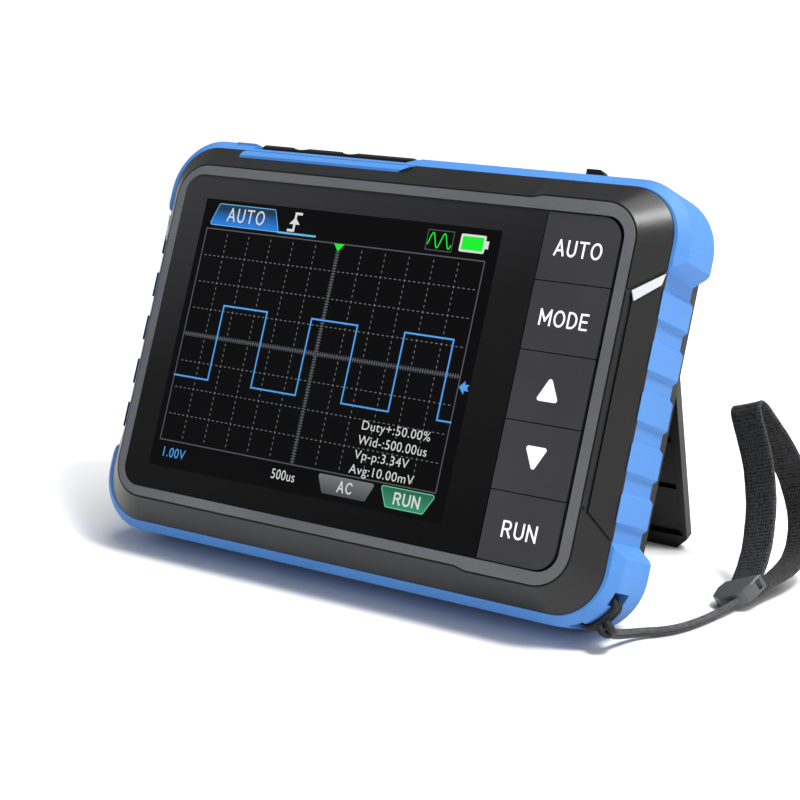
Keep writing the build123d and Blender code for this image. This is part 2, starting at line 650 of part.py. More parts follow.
# ---- lanyard, set out in the standing frame from the hitch's bead --------------------
cord_r = 0.85
cord_low = 0.95              # height of the cord's middle where it lies on the floor
cord_start = [               # beside and behind the bead, and how much of the bead's height is left
    (-0.09, -0.18, 0.965), (0.11, 1.02, 0.684), (0.31, 3.02, 0.404), (0.71, 5.42, 0.193), (1.71, 8.12, 0.035),
]
cord_rest = [                # beside and behind the bead, and above the floor
    (3.81, 10.22, 0.95), (5.61, 13.12, 0.95), (6.81, 16.72, 0.97), (7.61, 20.12, 1.05), (8.31, 23.32, 1.25),
    (8.91, 25.92, 1.6), (9.16, 27.77, 2.0),
]
loop_r = 0.45
slider_at, slider_tilt, slider_turn, slider_pitch = (8.01, 28.32, 2.75), 19.0, -8.0, 25.0
slider_t = 2.5
slider_outline = [            # across and along it, seen from above
    (-3.0, -2.4), (-1.3, -3.5), (2.5, -1.9), (3.4, -0.5), (4.0, 1.9), (-2.1, 1.0), (-3.0, -0.4),
]
web_w, web_t = 6.2, 0.9
web_at, web_tilt, web_turn = (8.51, 31.22, 2.6), 20.5, -15.3   # the webbing's width, up and round from +X
web_points = [                # in the loop's own plane: back, and up
    (-2.4, -0.35), (0.2, 0.9), (3.2, 3.9), (5.9, 7.8), (8.0, 12.4), (9.2, 17.2), (9.4, 21.6), (9.2, 24.6),
    (9.2, 26.8), (10.2, 27.8), (11.6, 26.4), (13.7, 22.6), (16.0, 18.0), (17.3, 13.2), (17.3, 8.2),
    (15.6, 4.0), (12.2, 1.1), (8.0, -0.1), (4.2, -0.6), (1.2, -0.8), (-1.2, -1.25),
]


def rounded_path(points):
    """Straight runs joined by arcs as large as the two runs beside each corner allow."""
    radii = []
    for a, b, c in zip(points, points[1:], points[2:]):
        before, after = Vector(*b) - Vector(*a), Vector(*c) - Vector(*b)
        half_turn = math.radians(before.get_angle(after)) / 2
        radii.append(0.45 * min(before.length, after.length) / math.tan(half_turn))
    print("arc radii", [round(r, 1) for r in radii])
    return FilletPolyline(*points, radius=radii)


def beside(bead, place):
    return Vector(bead.X + place[0], bead.Y + place[1], place[2])


def lanyard_cord(bead):
    points = [(bead.X + x, bead.Y + y, cord_low + share * (bead.Z - cord_low)) for x, y, share in cord_start]
    path = rounded_path(points + [tuple(beside(bead, p)) for p in cord_rest])
    tube = sweep(Plane(origin=path @ 0, z_dir=path % 0) * Circle(cord_r), path=path)
    print("cord", round(path.length, 1), "volume share", round(tube.volume / (path.length * math.pi * cord_r**2), 4))
    return tube


def bead_place():
    r, angle = bumper_r + 2.0, math.radians(-46)
    return Pos(bar_x + r * math.cos(angle), slot_y0 + 2.2, bar_z + r * math.sin(angle))


def lanyard_hitch():
    """Two turns of the cord round the bumper's corner bar, drawn in behind a small bead."""
    r0, r1 = bar_in - loop_r - 0.15, bumper_r + loop_r + 0.15
    hitch = bead_place() * Sphere(1.45)
    for y in (slot_y0 + 1.5, slot_y0 + 2.9):
        ring = sector(r0 - loop_r, r1 + loop_r, 21, 69, y - loop_r, y + loop_r)
        hitch += ring - sector(r0 + loop_r, r1 - loop_r, 27, 63, y - 1, y + 1)
    return hitch


def across(tilt, turn):
    """A direction that is turned from +X about Z and tilted up."""
    t, a = math.radians(tilt), math.radians(turn)
    return Vector(math.cos(t) * math.cos(a), math.cos(t) * math.sin(a), math.sin(t))


def lanyard_slider(bead):
    """Moulded piece that joins cord and webbing, lying on its lower edge."""
    width = across(slider_tilt, slider_turn)
    level = Vector(0, 0, 1).cross(width).normalized()
    up = width.cross(level)
    pitch = math.radians(slider_pitch)
    along = level * math.cos(pitch) + up * math.sin(pitch)
    body = extrude(make_face(Polyline(*slider_outline, close=True)), amount=slider_t / 2, both=True)
    body = fillet(body.edges().group_by(Axis.Z)[-1], 0.35)
    body -= Pos(0.6, 1.6, 0) * Box(web_w + 0.2, 2.4, 2 * web_t)
    middle = beside(bead, slider_at)
    body = Plane(origin=middle, x_dir=width, z_dir=width.cross(along)) * body
    return body & Pos(middle.X, middle.Y, 10 + gap) * Box(30, 30, 20)


def lanyard_strap(bead):
    """The woven wrist loop: a flat band on edge, from the slider up, over and back."""
    width = across(web_tilt, web_turn)
    back = Vector(0, 0, 1).cross(width).normalized()
    loop = Plane(origin=beside(bead, web_at), x_dir=back, z_dir=width)
    path = rounded_path([tuple(loop.from_local_coords(Vector(a, b, 0))) for a, b in web_points])
    band = sweep(Plane(origin=path @ 0, x_dir=width, z_dir=path % 0) * Rectangle(web_w, web_t), path=path)
    print("strap", round(path.length, 1), "volume share", round(band.volume / (path.length * web_w * web_t), 4))
    return band


# ---- assembly -----------------------------------------------------------------------
def place(part, shift):
    return Pos(*shift) * Rot(X=-lean) * part


def build():
    shell = front_shell()
    parts = {
        "front_shell": shell,
        "face_frame": face_frame(),
        "right_accent": accent(),
        "left_accent": mirrored(accent()),
        "display_lens": display_lens(),
        "lens_gasket": lens_gasket(),
        "lcd_panel": lcd_panel(),
        "backlight": backlight(),
        "display_flex": display_flex(),
        "inner_frame": inner_frame(),
        "tact_switches": tact_switches(),
        "main_pcb": main_pcb(),
        "pcb_screws": pcb_screws(),
        "shield_can": shield_can(),
        "chips": chips(),
        "battery": battery(),
        "battery_plug": battery_plug(),
        "battery_leads": battery_leads(),
        "probe_jack": jack(jack_x[0]),
        "generator_jack": jack(jack_x[1]),
        "usb_receptacle": usb_receptacle(),
        "port_block": port_block(),
        "power_switch": power_switch(),
        "power_knob": power_knob(),
        "bumper": bumper(),
        "back_shell": back_shell(),
        "case_screws": case_screws(),
        "hinge_pin_left": hinge_pin(-1),
        "hinge_pin_right": hinge_pin(1),
    }
    for i, name in enumerate(("auto_key", "mode_key", "up_key", "down_key", "run_key")):
        parts[name] = keycap(i)
    floor_z = place(parts["bumper"], (0, 0, 0)).bounding_box().min.Z
    parts["kickstand"] = swing_open(kickstand(foot_length(floor_z)))
    box = Compound(children=[place(p, (0, 0, 0)) for p in parts.values()]).bounding_box()
    shift = (-(box.min.X + box.max.X) / 2, -(box.min.Y + box.max.Y) / 2, -box.min.Z)
    parts = {name: place(p, shift) for name, p in parts.items()}
    parts["lanyard_hitch"] = place(lanyard_hitch(), shift)
    bead = (Pos(*shift) * Rot(X=-lean) * bead_place()).position
    parts["lanyard_cord"] = lanyard_cord(bead)
    parts["lanyard_slider"] = lanyard_slider(bead)
    parts["lanyard_strap"] = lanyard_strap(bead)
    print("shift", [round(v, 3) for v in shift], "box", box)
    return parts


os.makedirs("parts", exist_ok=True)
for name, part in build().items():
    part.label = name
    export_step(part, f"parts/{name}.step")
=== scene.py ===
import json
import math

import bmesh
import bpy
from mathutils import Matrix, Vector


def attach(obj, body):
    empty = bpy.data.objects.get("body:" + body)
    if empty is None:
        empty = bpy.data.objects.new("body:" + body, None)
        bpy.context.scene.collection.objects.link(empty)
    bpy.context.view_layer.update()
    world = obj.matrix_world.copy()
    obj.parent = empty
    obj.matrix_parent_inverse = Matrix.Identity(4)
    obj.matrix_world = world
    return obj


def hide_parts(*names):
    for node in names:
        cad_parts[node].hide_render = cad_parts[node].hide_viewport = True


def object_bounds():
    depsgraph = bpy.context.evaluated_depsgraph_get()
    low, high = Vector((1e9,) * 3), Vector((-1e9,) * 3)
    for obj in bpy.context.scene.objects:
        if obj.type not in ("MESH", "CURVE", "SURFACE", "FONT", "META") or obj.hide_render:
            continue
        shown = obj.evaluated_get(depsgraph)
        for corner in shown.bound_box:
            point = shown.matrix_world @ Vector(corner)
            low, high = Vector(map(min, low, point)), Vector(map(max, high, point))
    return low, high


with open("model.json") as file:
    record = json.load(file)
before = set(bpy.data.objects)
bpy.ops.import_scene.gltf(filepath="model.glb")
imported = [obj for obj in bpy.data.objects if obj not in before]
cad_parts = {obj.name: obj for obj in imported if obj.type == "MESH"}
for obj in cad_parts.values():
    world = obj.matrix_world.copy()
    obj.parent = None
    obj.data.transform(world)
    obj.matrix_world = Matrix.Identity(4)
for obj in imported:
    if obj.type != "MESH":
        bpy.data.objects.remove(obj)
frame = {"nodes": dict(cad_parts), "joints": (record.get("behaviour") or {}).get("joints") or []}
cad_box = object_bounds()

# Pocket oscilloscope on its kickstand. Sizes are written in millimetres and turned into metres by MM.
MM = 0.001

# ---- the instrument's own directions, from the frame's joints -----------------------
joints = {j["name"]: j for j in frame["joints"]}
SIDE = Vector(joints["kickstand_hinge"]["axis"])        # to the right across the face
DEPTH = Vector(joints["auto_press"]["axis"])            # from the face to the back
UP = SIDE.cross(DEPTH)                                  # up the face
HINGE_DEPTH, HINGE_HEIGHT = 18.0, 26.0
ORIGIN = Vector(joints["kickstand_hinge"]["pos_m"]) - MM * (HINGE_DEPTH * DEPTH + HINGE_HEIGHT * UP)

FACE_DROP = 0.2              # keys and window lie this far behind the face frame
PRINT = 0.012                # thickness of one printed layer


def on_face(x, z, depth=0.0):
    """A point from its place across the face, up the face and behind its front, in millimetres."""
    return ORIGIN + MM * (x * SIDE + z * UP + depth * DEPTH)


# ---- camera -------------------------------------------------------------------------
camera = bpy.data.objects.new("camera", bpy.data.cameras.new("camera"))
bpy.context.scene.collection.objects.link(camera)
camera.location = (0.16744, -0.259374, 0.10946)
camera.rotation_euler = (math.radians(74.98), 0, math.radians(33.36))
camera.data.lens = 86.44
camera.data.clip_start, camera.data.clip_end = 0.01, 60
bpy.context.scene.camera = camera
bpy.context.scene.view_settings.view_transform = "Standard"


# ---- materials ----------------------------------------------------------------------
def node(tree, kind, links=None, **values):
    """Adds a shader node; values set its inputs by name, and links join outputs to them."""
    made = tree.nodes.new(kind)
    for key, value in values.items():
        if hasattr(made, key):
            setattr(made, key, value)
        else:
            made.inputs[key.replace("_", " ")].default_value = value
    for key, output in (links or {}).items():
        tree.links.new(output, made.inputs[key])
    return made


def shade(value):
    return (*value, 1.0) if len(value) == 3 else value


def finish_of(name, colour, rough, other=None, grain=4000.0, bump=0.1, depth=0.01, spread=0.06,
              soften=0.0, patches=60.0, **sockets):
    """A moulded or painted finish: two close tones in fine grain and broad patches, varied gloss, and fine relief.

    grain and patches are texture scales per metre, depth is the relief in millimetres, soften rounds edges.
    """
    material = bpy.data.materials.new(name)
    material.use_nodes = True
    tree = material.node_tree
    surface = tree.nodes["Principled BSDF"]
    for socket, value in sockets.items():
        surface.inputs[socket.replace("_", " ")].default_value = value
    place = node(tree, "ShaderNodeTexCoord").outputs["Object"]
    fine = node(tree, "ShaderNodeTexNoise", {"Vector": place}, Scale=grain, Detail=3.0, Roughness=0.6)
    broad = node(tree, "ShaderNodeTexNoise", {"Vector": place}, Scale=patches, Detail=2.0, Roughness=0.5)
    both = node(tree, "ShaderNodeMath", {0: fine.outputs["Fac"], 1: broad.outputs["Fac"]}, operation="MULTIPLY")
    tones = node(tree, "ShaderNodeValToRGB", {"Fac": both.outputs[0]})
    tones.color_ramp.elements[0].position, tones.color_ramp.elements[1].position = 0.12, 0.40
    tones.color_ramp.elements[0].color = shade(colour)
    tones.color_ramp.elements[1].color = shade(other or [c * 1.12 for c in colour])
    gloss = node(tree, "ShaderNodeMapRange", {"Value": broad.outputs["Fac"]},
                 To_Min=rough - spread, To_Max=rough + spread)
    gloss.inputs["From Min"].default_value, gloss.inputs["From Max"].default_value = 0.3, 0.7
    relief = node(tree, "ShaderNodeBump", {"Height": fine.outputs["Fac"]}, Strength=bump, Distance=depth * MM)
    if soften:
        edge = node(tree, "ShaderNodeBevel", samples=4, Radius=soften * MM)
        tree.links.new(edge.outputs["Normal"], relief.inputs["Normal"])
    tree.links.new(tones.outputs["Color"], surface.inputs["Base Color"])
    tree.links.new(gloss.outputs["Result"], surface.inputs["Roughness"])
    tree.links.new(relief.outputs["Normal"], surface.inputs["Normal"])
    return material


def lit_ink(name, top, bottom=None, span=(0.0, 1.0)):
    """Display colour that glows, shaded from bottom to top between two heights on the face."""
    material = bpy.data.materials.new(name)
    material.use_nodes = True
    tree = material.node_tree
    surface = tree.nodes["Principled BSDF"]
    surface.inputs["Roughness"].default_value = 0.35
    surface.inputs["Specular IOR Level"].default_value = 0.1
    surface.inputs["Emission Strength"].default_value = 1.0
    place = node(tree, "ShaderNodeTexCoord").outputs["Object"]
    along = node(tree, "ShaderNodeVectorMath", {0: place}, operation="DOT_PRODUCT")
    along.inputs[1].default_value = UP
    low, high = (ORIGIN.dot(UP) + MM * height for height in span)
    rise = node(tree, "ShaderNodeMapRange", {"Value": along.outputs["Value"]}, From_Min=low, From_Max=high)
    pixels = node(tree, "ShaderNodeTexNoise", {"Vector": place}, Scale=9000.0, Detail=1.0)
    shift = node(tree, "ShaderNodeMath", {0: pixels.outputs["Fac"]}, operation="MULTIPLY_ADD")
    shift.inputs[1].default_value, shift.inputs[2].default_value = 0.06, -0.03
    spot = node(tree, "ShaderNodeMath", {0: rise.outputs["Result"], 1: shift.outputs[0]}, operation="ADD")
    blend = node(tree, "ShaderNodeValToRGB", {"Fac": spot.outputs[0]})
    blend.color_ramp.elements[0].color = shade(bottom or [c * 0.92 for c in top])
    blend.color_ramp.elements[1].color = shade(top)
    surface.inputs["Base Color"].default_value = (0.01, 0.01, 0.01, 1)
    tree.links.new(blend.outputs["Color"], surface.inputs["Emission Color"])
    return material


def window_glass_painted_reflection():
    """Gloss window with its printed border and a painted reflection: its colour is a little lighter towards the upper
    left.
    """
    material = finish_of("window_gloss", (0.020, 0.020, 0.022), 0.16, grain=1500.0, bump=0.02, depth=0.004,
                         spread=0.04, Specular_IOR_Level=0.22)
    tree = material.node_tree
    place = node(tree, "ShaderNodeTexCoord").outputs["Object"]
    along = node(tree, "ShaderNodeVectorMath", {0: place}, operation="DOT_PRODUCT")
    along.inputs[1].default_value = UP - 0.35 * SIDE
    low, high = ((on_face(25, -25)).dot(UP - 0.35 * SIDE), on_face(-38, 26).dot(UP - 0.35 * SIDE))
    rise = node(tree, "ShaderNodeMapRange", {"Value": along.outputs["Value"]}, From_Min=low, From_Max=high)
    # painted reflection: the window's base colour runs from near black up to a lighter grey towards the upper left
    tones = node(tree, "ShaderNodeValToRGB", {"Fac": rise.outputs["Result"]})
    tones.color_ramp.elements[0].color = (0.0015, 0.0015, 0.0017, 1)
    tones.color_ramp.elements[1].color = (0.034, 0.034, 0.037, 1)
    tones.color_ramp.elements.new(0.55).color = (0.0075, 0.0075, 0.008, 1)
    tree.links.new(tones.outputs["Color"], tree.nodes["Principled BSDF"].inputs["Base Color"])
    return material


def woven(name, colour, other, across, along, height, rough=0.75):
    """Yarn in two directions over a piece's own U and V, which are in metres.

    across and along are threads per metre, and height is the relief in millimetres.
    """
    material = bpy.data.materials.new(name)
    material.use_nodes = True
    tree = material.node_tree
    surface = tree.nodes["Principled BSDF"]
    surface.inputs["Roughness"].default_value = rough
    surface.inputs["Sheen Weight"].default_value = 0.05
    surface.inputs["Specular IOR Level"].default_value = 0.2
    surface.inputs["Sheen Roughness"].default_value = 0.4
    place = node(tree, "ShaderNodeTexCoord")
    waves = []
    for direction, count in (("X", across), ("Y", along)):
        wave = node(tree, "ShaderNodeTexWave", {"Vector": place.outputs["UV"]}, wave_type="BANDS",
                    bands_direction=direction, Scale=count * math.tau / 20, Distortion=4.0, Detail=2.0)
        wave.inputs["Detail Scale"].default_value = 2.0
        waves.append(wave.outputs["Fac"])
    weave = node(tree, "ShaderNodeMath", {0: waves[0], 1: waves[1]}, operation="MULTIPLY")
    lint = node(tree, "ShaderNodeTexNoise", {"Vector": place.outputs["Object"]}, Scale=1500.0, Detail=3.0)
    mixed = node(tree, "ShaderNodeMath", {0: weave.outputs[0], 1: lint.outputs["Fac"]}, operation="ADD")
    tones = node(tree, "ShaderNodeValToRGB", {"Fac": mixed.outputs[0]})
    tones.color_ramp.elements[0].position, tones.color_ramp.elements[1].position = 0.35, 1.3 / 1.5
    tones.color_ramp.elements[0].color, tones.color_ramp.elements[1].color = shade(colour), shade(other)
    relief = node(tree, "ShaderNodeBump", {"Height": mixed.outputs[0]}, Strength=0.6, Distance=height * MM)
    tree.links.new(tones.outputs["Color"], surface.inputs["Base Color"])
    tree.links.new(relief.outputs["Normal"], surface.inputs["Normal"])
    return material


shell_black = finish_of("shell_black", (0.0045, 0.0043, 0.0041), 0.34, other=(0.0075, 0.0072, 0.0070), grain=5200.0,
                        bump=0.25, depth=0.015, soften=0.12, Specular_IOR_Level=0.38)
frame_grey = finish_of("frame_grey", (0.092, 0.096, 0.104), 0.45, other=(0.128, 0.133, 0.143), grain=6500.0,
                       bump=0.2, depth=0.01, soften=0.08, Specular_IOR_Level=0.35)
key_grey = finish_of("key_grey", (0.030, 0.030, 0.034), 0.58, other=(0.037, 0.037, 0.042), grain=3800.0,
                     bump=0.12, depth=0.01, soften=0.07, Specular_IOR_Level=0.3)
bumper_blue = finish_of("bumper_blue", (0.052, 0.200, 0.520), 0.55, other=(0.070, 0.225, 0.575), grain=3200.0,
                        bump=0.25, depth=0.025, soften=0.14, patches=45.0, Specular_IOR_Level=0.35)
stand_black = finish_of("stand_black", (0.0025, 0.0025, 0.003), 0.42, other=(0.0045, 0.0045, 0.0055), grain=2600.0,
                        bump=0.2, depth=0.015, soften=0.15, Specular_IOR_Level=0.25)
cover_black = finish_of("cover_black", (0.0065, 0.0062, 0.006), 0.5, other=(0.013, 0.0125, 0.012), grain=4600.0,
                        bump=0.35, depth=0.02, soften=0.12, Specular_IOR_Level=0.3)
silver = finish_of("accent_silver", (0.50, 0.505, 0.54), 0.5, other=(0.56, 0.565, 0.60), grain=5000.0, bump=0.08,
                   Specular_IOR_Level=0.3)
slider_grey = finish_of("slider_grey", (0.062, 0.062, 0.064), 0.38, other=(0.082, 0.082, 0.084), grain=3000.0,
                        bump=0.25, depth=0.02, soften=0.25)
port_black = finish_of("port_black", (0.007, 0.007, 0.008), 0.45, grain=4000.0, bump=0.2, soften=0.1,
                       Specular_IOR_Level=0.25)
gold = finish_of("gold_brass", (0.62, 0.40, 0.13), 0.26, other=(0.72, 0.48, 0.18), grain=2500.0, bump=0.05,
                 Metallic=1.0)
steel = finish_of("steel", (0.48, 0.48, 0.50), 0.3, grain=2600.0, bump=0.08, Metallic=1.0)
tinned = finish_of("tinned_steel", (0.56, 0.56, 0.55), 0.34, grain=1800.0, bump=0.1, Metallic=1.0)
board_green = finish_of("board_green", (0.006, 0.085, 0.032), 0.3, other=(0.010, 0.115, 0.045), grain=1400.0)
chip_black = finish_of("chip_black", (0.012, 0.012, 0.012), 0.6, grain=3500.0, bump=0.2)
inner_plastic = finish_of("inner_plastic", (0.55, 0.55, 0.52), 0.45, grain=2800.0)
foil = finish_of("foil_silver", (0.50, 0.50, 0.51), 0.35, grain=900.0, bump=0.5, depth=0.05, Metallic=0.7)
amber = finish_of("flex_amber", (0.50, 0.20, 0.03), 0.35, grain=1800.0)
foam = finish_of("foam_black", (0.012, 0.012, 0.012), 0.9, grain=2200.0, bump=0.8, depth=0.05)
wire = finish_of("lead_wire", (0.30, 0.01, 0.01), 0.4, grain=1500.0)
light_guide = finish_of("light_guide", (0.72, 0.74, 0.76), 0.4, grain=1200.0)
display_glass = finish_of("display_glass", (0.006, 0.006, 0.008), 0.2, grain=1500.0, bump=0.02)
display_black = finish_of("display_black", (0.0022, 0.0022, 0.0026), 0.22, grain=3000.0, bump=0.02, depth=0.003,
                          Specular_IOR_Level=0.1)
# white key print with a faint glow, which is painted light: printed ink gives off none
legend_white_painted_glow = finish_of("legend_white_painted_glow", (0.86, 0.86, 0.86), 0.5, grain=4000.0, bump=0.05,
                         Emission_Color=(1, 1, 1, 1), Emission_Strength=0.25)
webbing = woven("webbing_black", (0.0030, 0.0030, 0.0035), (0.052, 0.052, 0.054), 2000, 1700, 0.14, rough=0.7)
braid = woven("cord_black", (0.022, 0.022, 0.023), (0.090, 0.090, 0.093), 2300, 2900, 0.05, rough=0.6)
# the same cord yarn as the strands above, made darker for the hitch turns and knot: painted shade
braid_painted_shade = woven("hitch_black", (0.005, 0.005, 0.006), (0.022, 0.022, 0.026), 2300, 2900, 0.05, rough=0.6)

FINISHES = {
    "front_shell": shell_black, "back_shell": cover_black, "face_frame": frame_grey,
    "right_accent": silver, "left_accent": silver, "display_lens": window_glass_painted_reflection(), "lens_gasket": foam,
    "lcd_panel": display_glass, "backlight": light_guide, "display_flex": amber, "inner_frame": inner_plastic,
    "tact_switches": tinned, "main_pcb": board_green, "pcb_screws": steel, "shield_can": tinned,
    "chips": chip_black, "battery": foil, "battery_plug": inner_plastic, "battery_leads": wire,
    "probe_jack": gold, "generator_jack": gold, "usb_receptacle": tinned, "port_block": port_black,
    "power_switch": chip_black, "power_knob": port_black, "bumper": bumper_blue, "case_screws": steel,
    "hinge_pin_left": steel, "hinge_pin_right": steel, "kickstand": stand_black, "lanyard_slider": slider_grey,
}
FINISHES.update({name + "_key": key_grey for name in ("auto", "mode", "up", "down", "run")})
for name, material in FINISHES.items():
    mesh = frame["nodes"][name].data
    mesh.materials.clear()
    mesh.materials.append(material)


# ---- flat print on the window and keys ----------------------------------------------
def link(name, mesh, material, body="case"):
    piece = bpy.data.objects.new(name, mesh)
    bpy.context.scene.collection.objects.link(piece)
    mesh.materials.append(material)
    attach(piece, body)
    return piece


def printed(name, outlines, layer, material, body="case"):
    """Shapes printed on the face: each is an outline of (x, z) points, run anticlockwise as seen from the front."""
    made = bmesh.new()
    for outline in outlines:
        made.faces.new([made.verts.new(on_face(x, z, FACE_DROP - layer * PRINT)) for x, z in outline])
    mesh = bpy.data.meshes.new(name)
    made.to_mesh(mesh)
    made.free()
    return link(name, mesh, material, body)


def stroke(points, width, closed=False):
    """A line of the given width as one outline per run."""
    ends = list(zip(points, points[1:] + points[:1])) if closed else list(zip(points, points[1:]))
    outlines = []
    for (x0, z0), (x1, z1) in ends:
        length = math.hypot(x1 - x0, z1 - z0)
        dx, dz = (x1 - x0) / length * width / 2, (z1 - z0) / length * width / 2
        outlines.append([(x0 - dx + dz, z0 - dz - dx), (x1 + dx + dz, z1 + dz - dx),
                         (x1 + dx - dz, z1 + dz + dx), (x0 - dx - dz, z0 - dz + dx)])
    return outlines


def dashes(start, end, pitch, dash, width):
    """A dashed line from start to end, with a dash centred on every pitch."""
    (x0, z0), (x1, z1) = start, end
    length = math.hypot(x1 - x0, z1 - z0)
    ux, uz = (x1 - x0) / length, (z1 - z0) / length
    outlines = []
    for i in range(1, round(length / pitch)):
        s = i * pitch
        a, b = s - dash / 2, s + dash / 2
        outlines += stroke([(x0 + ux * (a + width / 2), z0 + uz * (a + width / 2)),
                            (x0 + ux * (b - width / 2), z0 + uz * (b - width / 2))], width)
    return outlines


def rounded_outline(points, radius, steps=5):
    """An outline whose corners are arcs of this radius."""
    result = []
    for before, corner, after in zip(points[-1:] + points[:-1], points, points[1:] + points[:1]):
        corner, before, after = Vector(corner), Vector(before), Vector(after)
        to_before, to_after = (before - corner).normalized(), (after - corner).normalized()
        half = to_before.angle(to_after) / 2
        centre = corner + (to_before + to_after).normalized() * (radius / math.sin(half))
        start = corner + to_before * (radius / math.tan(half)) - centre
        end = corner + to_after * (radius / math.tan(half)) - centre
        for i in range(steps + 1):
            spoke = start.slerp(end, i / steps) if start.angle(end) > 1e-4 else start
            result.append(tuple(centre + spoke.normalized() * radius))
    return result


def lettering(name, words, x, z, width, height, layer, material):
    """Plain lettering centred at x, z, as wide and high as given."""
    font = bpy.data.curves.new(name, "FONT")
    font.body, font.space_character = words, 1.08
    holder = bpy.data.objects.new(name, font)
    mesh = bpy.data.meshes.new_from_object(holder)
    xs, ys = [v.co.x for v in mesh.vertices], [v.co.y for v in mesh.vertices]
    for v in mesh.vertices:
        u = (v.co.x - min(xs)) / (max(xs) - min(xs)) - 0.5
        w = (v.co.y - min(ys)) / (max(ys) - min(ys)) - 0.5
        v.co = on_face(x + u * width, z + w * height, FACE_DROP - layer * PRINT)
    bpy.data.objects.remove(holder)
    bpy.data.curves.remove(font)
    return link(name, mesh, material)


def arc(x, z, rx, rz, start, end, steps=10):
    """Points on an ellipse's arc between two angles in degrees."""
    return [(x + rx * math.cos(math.radians(start + (end - start) * k / steps)),
             z + rz * math.sin(math.radians(start + (end - start) * k / steps))) for k in range(steps + 1)]


# plain capitals of even strokes in a cell one high: the cell's width, and the strokes' points
CAPITALS = {
    "A": (0.86, [[(0, 0), (0.43, 1), (0.86, 0)], [(0.16, 0.32), (0.70, 0.32)]]),
    "C": (0.80, [arc(0.46, 0.5, 0.46, 0.5, 45, 315, 16)]),
    "D": (0.76, [[(0.26, 0), (0, 0), (0, 1), (0.26, 1)], arc(0.26, 0.5, 0.50, 0.5, 90, -90)]),
    "E": (0.62, [[(0.62, 1), (0, 1), (0, 0), (0.62, 0)], [(0, 0.51), (0.56, 0.51)]]),
    "M": (0.98, [[(0, 0), (0, 1), (0.49, 0.27), (0.98, 1), (0.98, 0)]]),
    "N": (0.76, [[(0, 0), (0, 1), (0.76, 0), (0.76, 1)]]),
    "O": (0.92, [arc(0.46, 0.5, 0.46, 0.5, 0, 360, 24)]),
    "R": (0.72, [[(0, 0), (0, 1), (0.42, 1)], arc(0.42, 0.745, 0.26, 0.255, 90, -90), [(0.42, 0.49), (0, 0.49)],
                 [(0.36, 0.49), (0.70, 0)]]),
    "T": (0.78, [[(0, 1), (0.78, 1)], [(0.39, 0), (0.39, 1)]]),
    "U": (0.74, [[(0, 1), (0, 0.36)], arc(0.37, 0.36, 0.37, 0.36, 180, 360), [(0.74, 0.36), (0.74, 1)]]),
}


def capitals(name, words, x, z, width, height, weight, layer, material, body="case", space=0.42):
    """Even-stroked capitals centred at x, z, as wide and high as given over the strokes' outer edges."""
    total = sum(CAPITALS[letter][0] for letter in words) + space * (len(words) - 1)
    across, tall = (width - weight) / total, height - weight
    outlines, start = [], 0.0
    for letter in words:
        cell, lines = CAPITALS[letter]
        for points in lines:
            outlines += stroke([(x - (width - weight) / 2 + (start + u) * across, z + (w - 0.5) * tall)
                                for u, w in points], weight)
        start += cell + space
    return printed(name, outlines, layer, material, body)


# ---- key legends --------------------------------------------------------------------
KEY_X, KEY_PITCH = 34.25, 10.73
for name, words, row, width in (("auto", "AUTO", 2, 8.0), ("mode", "MODE", 1, 8.2), ("run", "RUN", -2, 5.9)):
    capitals(name + "_legend", words, KEY_X, row * KEY_PITCH - 0.15, width, 2.55, 0.31, 1, legend_white_painted_glow, name + "_key")
for name, row, tip in (("up", 0, 1), ("down", -1, -1)):
    middle = row * KEY_PITCH
    half, rise = 1.95, 1.95
    corners = [(KEY_X - half, middle - tip * rise), (KEY_X + half, middle - tip * rise), (KEY_X, middle + tip * rise)]
    corners = corners if tip > 0 else corners[::-1]
    printed(name + "_legend", [rounded_outline(corners, 0.38)], 1, legend_white_painted_glow, name + "_key")

# ---- what the display shows ---------------------------------------------------------
grid_left, grid_right, grid_top, grid_bottom = -35.55, 18.88, 17.84, -18.45
columns, rows = 12, 8
cell_w, cell_h = (grid_right - grid_left) / columns, (grid_top - grid_bottom) / rows
middle_x, middle_z = (grid_left + grid_right) / 2, (grid_top + grid_bottom) / 2

ink_grid = lit_ink("display_grid", (0.16, 0.165, 0.175))
ink_axis = lit_ink("display_axis", (0.085, 0.090, 0.105))
ink_frame = lit_ink("display_frame", (0.075, 0.080, 0.095))
ink_blue = lit_ink("display_blue", (0.075, 0.36, 0.86))
ink_green = lit_ink("display_green", (0.0, 0.86, 0.02))
ink_white = lit_ink("display_white", (0.70, 0.71, 0.71))
ink_tab = lit_ink("display_tab_blue", (0.004, 0.032, 0.075), (0.012, 0.19, 0.68), span=(19.0, 21.4))
ink_grey = lit_ink("display_tab_grey", (0.16, 0.165, 0.175), (0.055, 0.057, 0.065), span=(-21.9, -18.9))
ink_run = lit_ink("display_tab_green", (0.010, 0.115, 0.062), (0.022, 0.26, 0.135), span=(-21.9, -18.9))
ink_edge = lit_ink("display_tab_edge", (0.13, 0.48, 0.80))
ink_run_edge = lit_ink("display_run_edge", (0.16, 0.62, 0.36))

lit_area = [(-36.9, -22.9), (20.9, -22.9), (20.9, 22.9), (-36.9, 22.9)]
printed("display_area", [rounded_outline(lit_area, 0.3)], 1, display_black)

